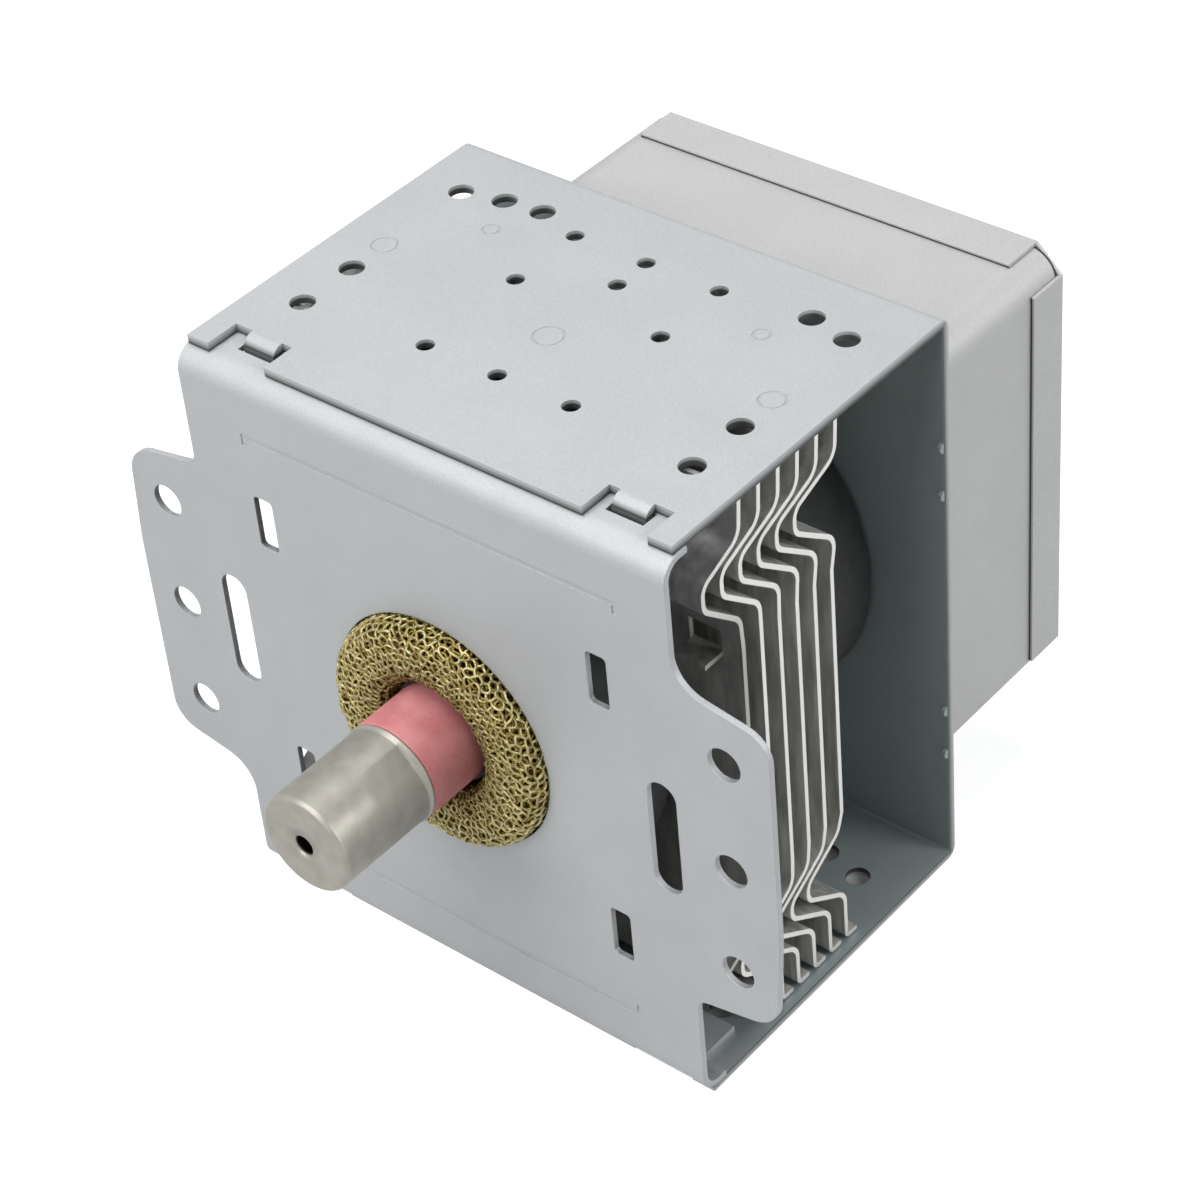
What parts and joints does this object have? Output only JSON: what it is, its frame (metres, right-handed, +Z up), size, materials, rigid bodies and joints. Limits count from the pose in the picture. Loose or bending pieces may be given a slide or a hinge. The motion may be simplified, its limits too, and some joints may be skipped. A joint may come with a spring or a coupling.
{
  "type": "magnetron",
  "caption": "Microwave power tube with an antenna under a steel cap, folded cooling fins in an open steel yoke, an eared mounting plate and a filter box.",
  "frame": {"origin": "where the antenna axis meets the front face of the mounting plate", "axes": "-Y along the antenna, out of the mounting plate; +Z up from the yoke's lower arm, +X to the right seen from the antenna"},
  "size_m": [0.112, 0.1167, 0.0954],
  "materials": {
    "zinc_steel": "fine zinc plate, satin",
    "fin_aluminium": "mill finish sheet",
    "cap_steel": "satin nickel plate",
    "window_ceramic": "matte pink alumina",
    "gasket_mesh": "knitted wire, dull",
    "magnet_ferrite": "ground ferrite, matte",
    "anode_copper": "copper, satin",
    "vacuum_steel": "drawn iron, satin",
    "stem_ceramic": "white alumina, matte",
    "heater_wire": "drawn wire",
    "choke_wire": "enamelled copper wire",
    "capacitor_resin": "moulded resin, matte",
    "terminal_tin": "tinned blade"
  },
  "bodies": {
    "root": {"mounting_plate": "zinc_steel", "yoke_frame": "zinc_steel", "rf_gasket": "gasket_mesh", "antenna_cap": "cap_steel", "antenna_insulator": "window_ceramic", "pumping_tube": "anode_copper", "antenna_rod": "anode_copper", "front_magnet": "magnet_ferrite", "front_pole_piece": "vacuum_steel", "front_seal_cup": "vacuum_steel", "rear_magnet": "magnet_ferrite", "rear_pole_piece": "vacuum_steel", "rear_seal_cup": "vacuum_steel", "stem_insulator": "stem_ceramic", "anode_cylinder": "anode_copper", "anode_vanes": "anode_copper", "strap_rings": "anode_copper", "heater_coil": "heater_wire", "front_end_hat": "heater_wire", "rear_end_hat": "heater_wire", "heater_leads": "heater_wire", "filter_case": "zinc_steel", "filter_lid": "zinc_steel", "case_rivets": "vacuum_steel", "capacitor_block": "capacitor_resin", "capacitor_bracket": "zinc_steel", "bracket_rivets": "vacuum_steel", "terminal_blades": "terminal_tin", "choke_winding_left": "choke_wire", "choke_winding_right": "choke_wire", "choke_core_left": "magnet_ferrite", "choke_core_right": "magnet_ferrite", "choke_tails": "choke_wire", "cooling_fin_1": "fin_aluminium", "cooling_fin_2": "fin_aluminium", "cooling_fin_3": "fin_aluminium", "cooling_fin_4": "fin_aluminium", "cooling_fin_5": "fin_aluminium", "cooling_fin_6": "fin_aluminium"}
  },
  "joints": []
}
